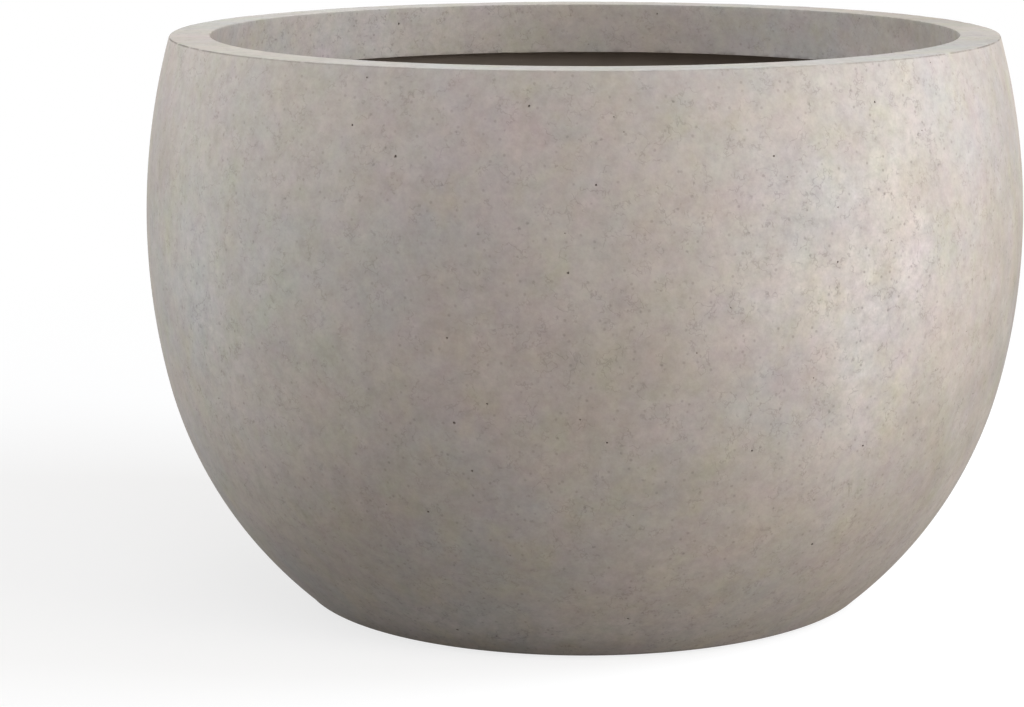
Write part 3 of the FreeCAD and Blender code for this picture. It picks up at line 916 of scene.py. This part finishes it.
def moulded(name, dark, pale, roughness, grain_size):
    """Matt moulded plastic or rubber, with a fine grain and a little dust."""
    graph = Graph(name)
    clouds = graph.noise(MOULDED_CLOUD_SIZE, *SOFT)
    colour = graph.blend("MIX", graph.between(clouds, *MOULDED_CLOUD_EDGE), dark, pale)
    graph.put(graph.shader.inputs["Base Color"], colour)
    graph.put(graph.shader.inputs["Roughness"], graph.spread(clouds, MOULDED_ROUGHNESS_RANGE, roughness))
    graph.bump(graph.noise(grain_size, *SOFT), MOULDED_BUMP)
    return graph.material


def dress_node(node, material):
    """Give a node of the frame its finish."""
    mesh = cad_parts[node].data
    mesh.materials.clear()
    mesh.materials.append(material)


def shown_rays(tree):
    """1 for the rays that see the background itself, 0 for those that only carry light."""
    path = tree.nodes.new("ShaderNodeLightPath")
    first = tree.nodes.new("ShaderNodeMath")
    first.operation = "MAXIMUM"
    tree.links.new(path.outputs["Is Camera Ray"], first.inputs[0])
    tree.links.new(path.outputs["Is Glossy Ray"], first.inputs[1])
    second = tree.nodes.new("ShaderNodeMath")
    second.operation = "MAXIMUM"
    tree.links.new(first.outputs[0], second.inputs[0])
    tree.links.new(path.outputs["Is Transmission Ray"], second.inputs[1])
    return second.outputs[0]


def build_world():
    """An even pale room, seen as plain white."""
    world = bpy.data.worlds.new("room")
    bpy.context.scene.world = world
    world.use_nodes = True
    tree = world.node_tree
    light = tree.nodes["Background"]
    light.inputs["Color"].default_value = ROOM_COLOUR
    light.inputs["Strength"].default_value = ROOM_STRENGTH
    seen = tree.nodes.new("ShaderNodeBackground")
    seen.inputs["Color"].default_value = WHITE
    seen.inputs["Strength"].default_value = 1.0
    mix = tree.nodes.new("ShaderNodeMixShader")
    tree.links.new(shown_rays(tree), mix.inputs[0])
    tree.links.new(light.outputs[0], mix.inputs[1])
    tree.links.new(seen.outputs[0], mix.inputs[2])
    tree.links.new(mix.outputs[0], tree.nodes["World Output"].inputs["Surface"])


def build_floor():
    """A pale floor that is seen white but for the planter's shadow, and throws little light back."""
    mesh = bpy.data.meshes.new("floor")
    corners = [(-1, -1), (1, -1), (1, 1), (-1, 1)]
    mesh.from_pydata([(FLOOR_REACH * x, FLOOR_REACH * y, 0) for x, y in corners], [], [(0, 1, 2, 3)])
    graph = Graph("floor_paper")
    distance = graph.add("ShaderNodeVectorMath", {0: graph.place}, operation="LENGTH").outputs["Value"]
    far = graph.between(distance, *FLOOR_FADE)
    glow = graph.math("ADD", graph.math("MULTIPLY", far, 1 - FLOOR_GLOW), FLOOR_GLOW)
    lean = graph.add("ShaderNodeVectorMath", {0: FLOOR_LEAN}, operation="NORMALIZE").outputs["Vector"]
    shade = graph.blend("MIX", far, FLOOR_SEEN, BLACK)
    paper = graph.add("ShaderNodeBsdfDiffuse", {"Color": shade, "Normal": lean})
    white = graph.add("ShaderNodeEmission", {"Strength": glow})
    seen = graph.add("ShaderNodeAddShader", {0: paper.outputs[0], 1: white.outputs[0]})
    bounce = graph.add("ShaderNodeBsdfDiffuse", {"Color": FLOOR_BOUNCE})
    inputs = {0: shown_rays(graph.tree), 1: bounce.outputs[0], 2: seen.outputs[0]}
    both = graph.add("ShaderNodeMixShader", inputs)
    graph.put(graph.tree.nodes["Material Output"].inputs["Surface"], both.outputs[0])
    mesh.materials.append(graph.material)
    floor = bpy.data.objects.new("floor", mesh)
    bpy.context.scene.collection.objects.link(floor)


def area_light(name, turn, climb, power, colour):
    """A soft studio light that faces the planter, turned right from the camera's side and raised."""
    lamp = bpy.data.lights.new(name, "AREA")
    lamp.shape = "SQUARE"
    lamp.size = LIGHT_SIZE
    lamp.energy = power
    lamp.color = colour
    light = bpy.data.objects.new(name, lamp)
    turn, climb = math.radians(turn), math.radians(climb)
    level = Vector((math.sin(turn), -math.cos(turn), 0)) * math.cos(climb)
    away = level + Vector((0, 0, math.sin(climb)))
    light.location = LIGHT_AIM + LIGHT_DISTANCE * away
    light.rotation_euler = away.to_track_quat("Z", "Y").to_euler()
    bpy.context.scene.collection.objects.link(light)


def build_camera():
    """The photograph's camera: level across, pitched down, the bowl's axis right of the middle."""
    data = bpy.data.cameras.new("camera")
    data.sensor_width = SENSOR_WIDTH
    data.lens = FOCAL_PIXELS / IMAGE_WIDTH * SENSOR_WIDTH
    data.shift_x = 0.5 - AXIS_PIXEL / IMAGE_WIDTH
    camera = bpy.data.objects.new("camera", data)
    camera.location = CAMERA_PLACE
    camera.rotation_euler = (math.pi / 2 - CAMERA_PITCH, 0, 0)
    bpy.context.scene.collection.objects.link(camera)
    bpy.context.scene.camera = camera


bpy.context.scene.view_settings.view_transform = "Standard"
build_shell(concrete())
build_lining(coating())
dress_node("drain_sleeve", moulded("sleeve_plastic", *SLEEVE_FINISH))
dress_node("drain_plug", moulded("plug_rubber", *PLUG_FINISH))
pad_rubber = moulded("foot_rubber", *PAD_FINISH)
for number in range(1, FOOT_COUNT + 1):
    dress_node(f"foot_pad_{number}", pad_rubber)
build_world()
build_floor()
for name, setting in LIGHTS.items():
    area_light(name, *setting)
build_camera()
